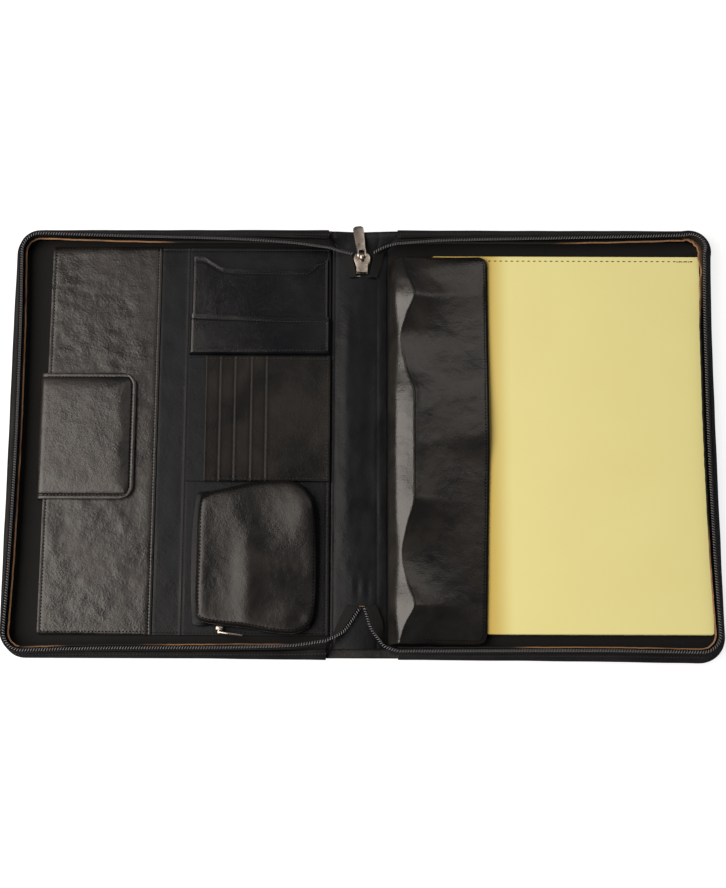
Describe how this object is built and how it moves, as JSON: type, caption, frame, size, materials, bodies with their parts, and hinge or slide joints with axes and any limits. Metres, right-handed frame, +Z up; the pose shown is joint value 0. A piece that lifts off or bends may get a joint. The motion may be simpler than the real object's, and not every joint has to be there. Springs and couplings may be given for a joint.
{
  "type": "zippered ring binder portfolio",
  "caption": "Leather zip-round portfolio lying open, with pockets, card slots and a zip pouch on the left, and a ring binder under a flap with a note pad on the right.",
  "frame": {"origin": "middle of the spine, at half height, on the flat underside of the outer leather", "axes": "+X towards the half with the rings, +Y towards the head of the page, +Z up out of the open case"},
  "size_m": [0.5459, 0.3421, 0.0317],
  "materials": {
    "leather": "black grained leather, semi-gloss",
    "raw_edge_leather": "black leather band with a raw tan cut edge",
    "lining": "matt black woven lining",
    "zip_tape": "black woven zip tape",
    "zip_chain": "black coil teeth",
    "nickel": "warm nickel plate",
    "paper": "matt yellow paper"
  },
  "bodies": {
    "case": {"outer_shell": "leather", "left_lining": "lining", "right_lining": "lining", "spine_panel": "leather", "left_gusset": "leather", "right_gusset": "leather", "left_facing": "raw_edge_leather", "right_facing": "raw_edge_leather", "left_zip_tape": "zip_tape", "right_zip_tape": "zip_tape", "left_zip_chain": "zip_chain", "right_zip_chain": "zip_chain", "zip_slider": "nickel", "document_pocket": "leather", "pocket_tab": "leather", "organizer_panel": "leather", "phone_pocket": "leather", "phone_pocket_front": "leather", "card_backing": "leather", "card_slot_1": "leather", "card_slot_2": "leather", "card_slot_3": "leather", "card_slot_4": "leather", "card_slot_5": "leather", "pouch_gusset": "leather", "pouch_zip": "zip_tape", "pouch_front": "leather", "pouch_slider": "nickel", "ring_mechanism": "nickel", "note_pad": "paper", "binder_flap": "leather"},
    "zip_pull": {"zip_pull": "nickel"},
    "pouch_pull": {"pouch_pull": "nickel"}
  },
  "joints": [
    {"name": "zip_pull_swing", "type": "hinge", "parent": "case", "child": "zip_pull", "pos_m": [-0.0009, 0.1469, 0.0139], "axis": [1, 0, 0], "range_deg": [0, 170]},
    {"name": "pouch_pull_swing", "type": "hinge", "parent": "case", "child": "pouch_pull", "pos_m": [-0.10692, -0.14827, 0.0116], "axis": [0, 0, -1], "range_deg": [0, 22]}
  ]
}
